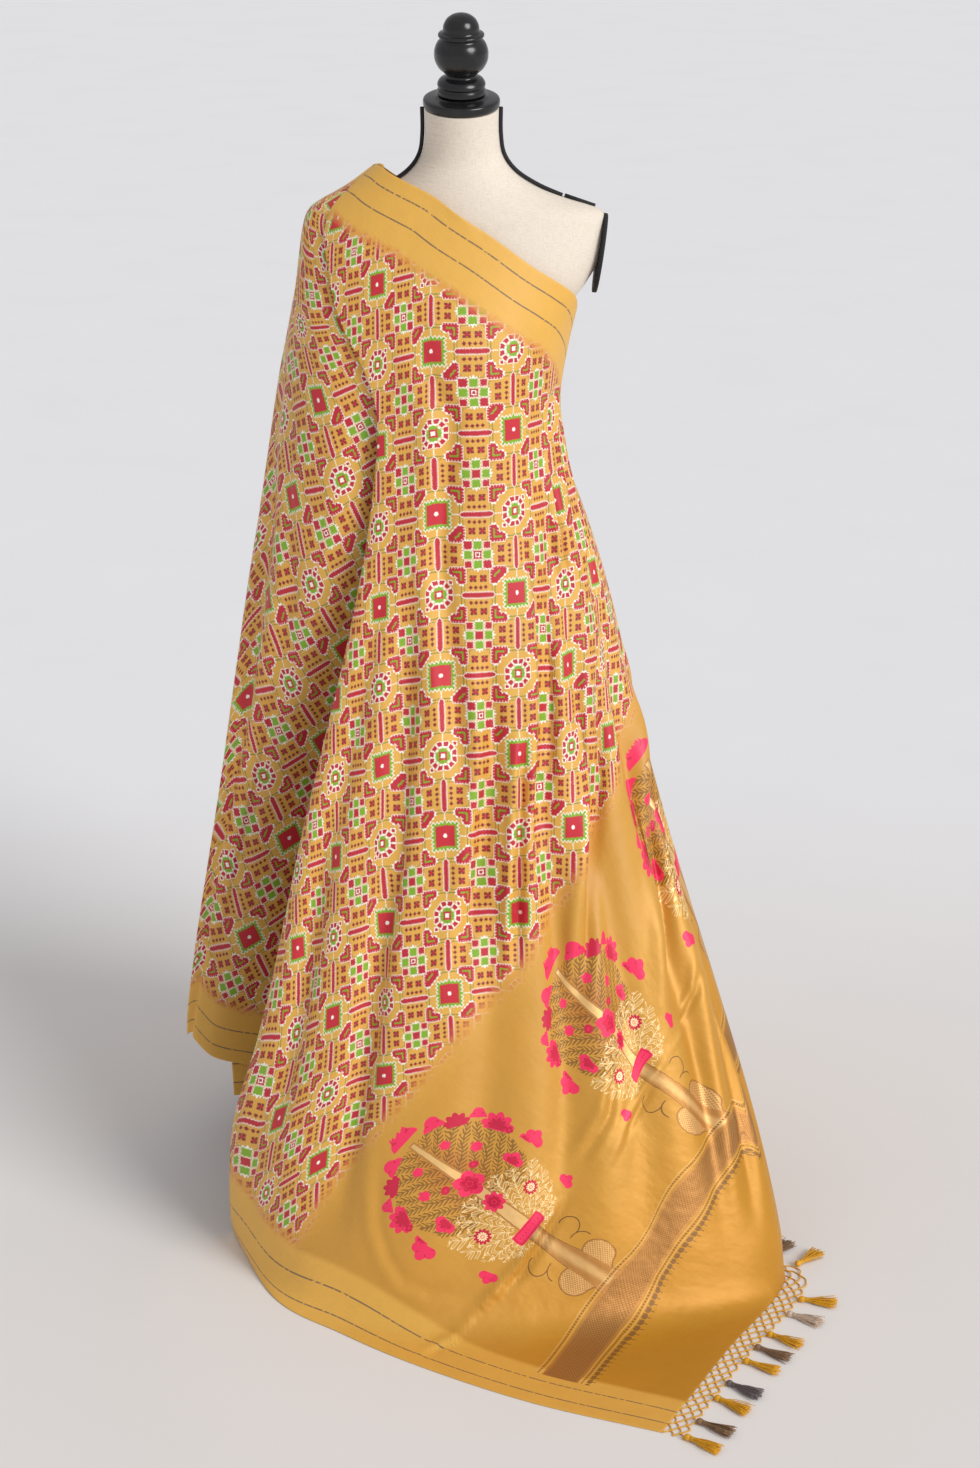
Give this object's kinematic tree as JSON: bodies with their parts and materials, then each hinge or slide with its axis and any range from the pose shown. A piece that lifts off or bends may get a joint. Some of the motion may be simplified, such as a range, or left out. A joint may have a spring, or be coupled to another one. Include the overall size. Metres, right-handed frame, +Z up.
{
  "type": "sari on a dress form",
  "caption": "Printed silk sari with a woven floral end and a tasselled edge, draped over one shoulder of a limbless dress form on a round-based stand.",
  "frame": {"origin": "middle of the underside of the stand's round base, on the floor", "axes": "+Z up through the form's neck; -Y is the front of the drape; +X is the side with the bare shoulder"},
  "size_m": [0.8656, 1.0573, 1.5719],
  "materials": {
    "printed_silk": "satin silk, printed",
    "linen": "matt woven linen",
    "black_piping": "matt black",
    "black_wood": "satin black lacquer",
    "silk_thread": "lustrous thread",
    "stand_metal": "satin"
  },
  "bodies": {
    "root": {"sari_front": "printed_silk", "sari_shoulder_fall": "printed_silk", "sari_back": "printed_silk", "sari_inner_fold": "printed_silk", "form_torso": "linen", "form_arm_plate_left": "black_piping", "form_arm_plate_right": "black_piping", "form_piping_left": "black_piping", "form_piping_right": "black_piping", "form_neck_cap": "black_wood", "form_finial": "black_wood", "form_pole": "stand_metal", "form_base": "stand_metal", "pallu_net": "silk_thread", "tassel_01": "silk_thread", "tassel_02": "silk_thread", "tassel_03": "silk_thread", "tassel_04": "silk_thread", "tassel_05": "silk_thread", "tassel_06": "silk_thread", "tassel_07": "silk_thread", "tassel_08": "silk_thread", "tassel_09": "silk_thread", "tassel_10": "silk_thread", "tassel_11": "silk_thread", "tassel_12": "silk_thread", "tassel_13": "silk_thread", "tassel_14": "silk_thread", "tassel_15": "silk_thread", "tassel_16": "silk_thread", "tassel_17": "silk_thread", "tassel_18": "silk_thread", "tassel_19": "silk_thread", "tassel_20": "silk_thread", "tassel_21": "silk_thread", "tassel_22": "silk_thread", "tassel_23": "silk_thread", "tassel_24": "silk_thread", "tassel_25": "silk_thread", "tassel_26": "silk_thread"}
  },
  "joints": []
}
